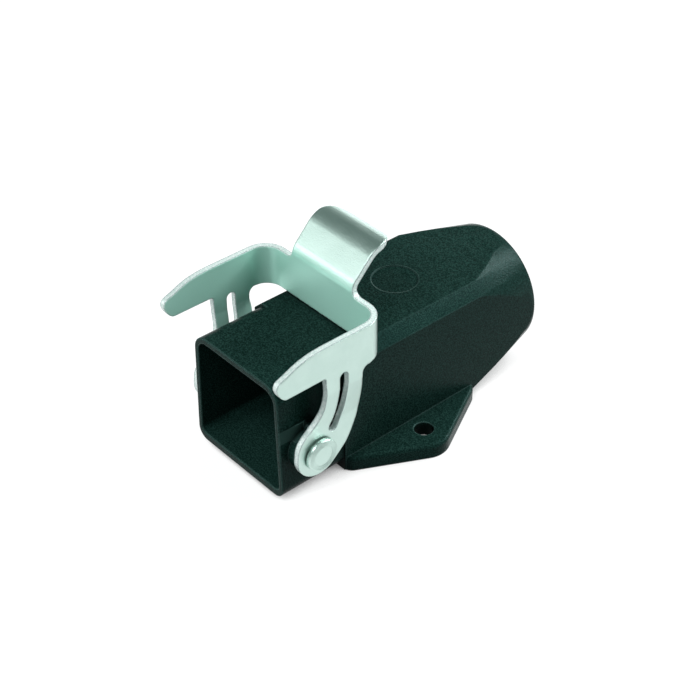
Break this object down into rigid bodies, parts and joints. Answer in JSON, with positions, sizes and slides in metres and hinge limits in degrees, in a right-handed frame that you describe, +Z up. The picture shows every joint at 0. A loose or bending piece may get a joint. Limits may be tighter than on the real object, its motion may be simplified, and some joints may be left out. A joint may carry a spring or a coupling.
{
  "type": "connector housing",
  "caption": "Black moulded connector shell with a square insert mouth, two-ear mounting flange, round rear cable entry and a bent sheet-metal locking lever.",
  "frame": {"origin": "centre of the flange underside, midway between the two screw holes", "axes": "+Z up away from the mounting surface, +Y from the insert mouth towards the cable entry, X across, through the lever's pivots"},
  "size_m": [0.0418, 0.0665, 0.0412],
  "materials": {
    "black_plastic": "fine textured, black",
    "plated_steel": "zinc plated, smooth"
  },
  "bodies": {
    "shell": {"housing_body": "black_plastic", "pivot_pin_right": "plated_steel", "pivot_pin_left": "plated_steel"},
    "lever": {"locking_lever": "plated_steel"}
  },
  "joints": [
    {"name": "lever_hinge", "type": "hinge", "parent": "shell", "child": "lever", "pos_m": [0, -0.02425, 0.0105], "axis": [1, 0, 0], "range_deg": [0, 90]}
  ]
}
